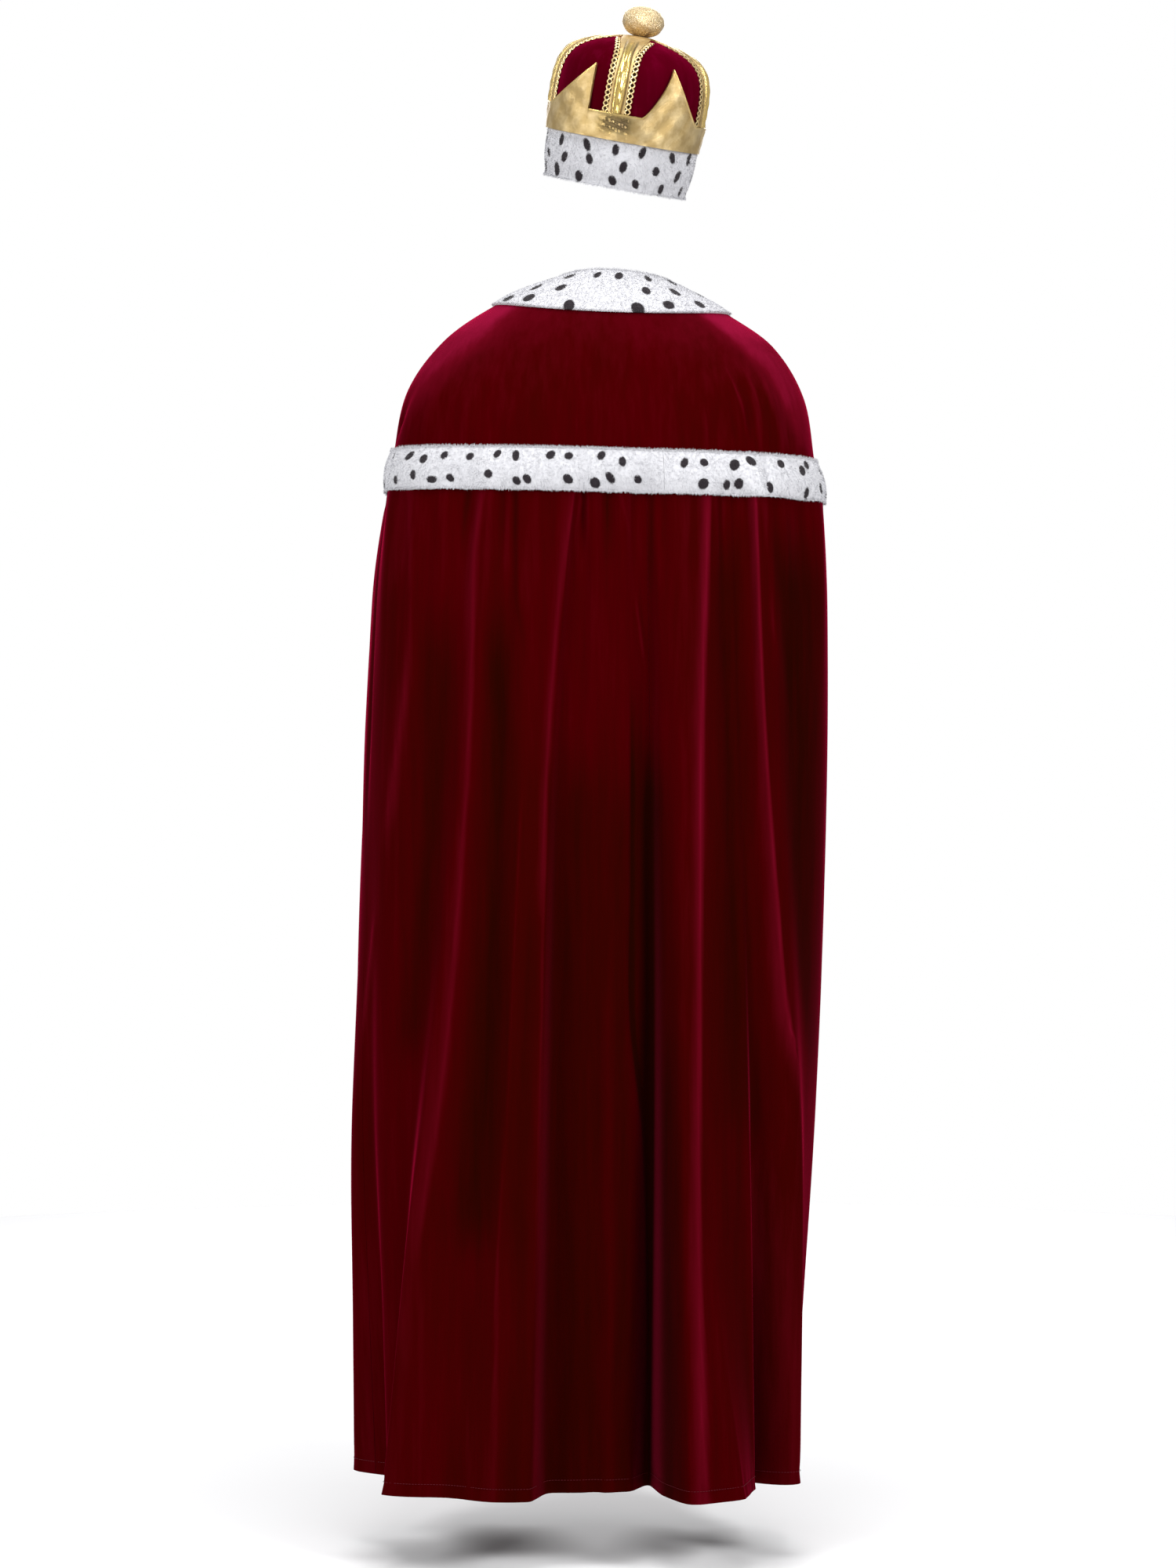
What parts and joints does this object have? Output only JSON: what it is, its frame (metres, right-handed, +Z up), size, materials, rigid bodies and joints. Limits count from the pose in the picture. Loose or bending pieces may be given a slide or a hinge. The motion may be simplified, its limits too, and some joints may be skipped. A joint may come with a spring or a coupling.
{
  "type": "coronation robe and crown hat costume",
  "caption": "Worn coronation costume: long gathered velvet robe with yoke, spotted fur band and collar, and a padded crown hat above it; hollow, open at the front.",
  "frame": {"origin": "middle of the neck, level with the nape, where the robe rests on the wearer's neck and shoulders", "axes": "+Z up; -Y is the wearer's front, so the back of the robe faces +Y; +X is the wearer's left"},
  "size_m": [0.5739, 0.3866, 1.7642],
  "materials": {
    "velvet": "wine red velvet with a soft sheen",
    "ermine": "white short-pile fur with black spots",
    "lame": "crinkled gold foil cloth",
    "braid": "looped gold scroll braid"
  },
  "bodies": {
    "root": {"robe_yoke_back": "velvet", "robe_yoke_front_left": "velvet", "robe_yoke_front_right": "velvet", "robe_skirt_back_left": "velvet", "robe_skirt_back_right": "velvet", "robe_skirt_front_left": "velvet", "robe_skirt_front_right": "velvet", "robe_neck_tab": "velvet", "ermine_band_left": "ermine", "ermine_band_right": "ermine", "ermine_collar": "ermine", "crown_brim": "ermine", "crown_points": "lame", "crown_panel_back_right": "velvet", "crown_panel_right_front": "velvet", "crown_panel_front_left": "velvet", "crown_panel_left_back": "velvet", "crown_arch_back": "lame", "crown_arch_right": "lame", "crown_arch_front": "lame", "crown_arch_left": "lame", "crown_braid_back_a": "braid", "crown_braid_back_b": "braid", "crown_braid_right_a": "braid", "crown_braid_right_b": "braid", "crown_braid_front_a": "braid", "crown_braid_front_b": "braid", "crown_braid_left_a": "braid", "crown_braid_left_b": "braid", "crown_ball": "lame"}
  },
  "joints": []
}
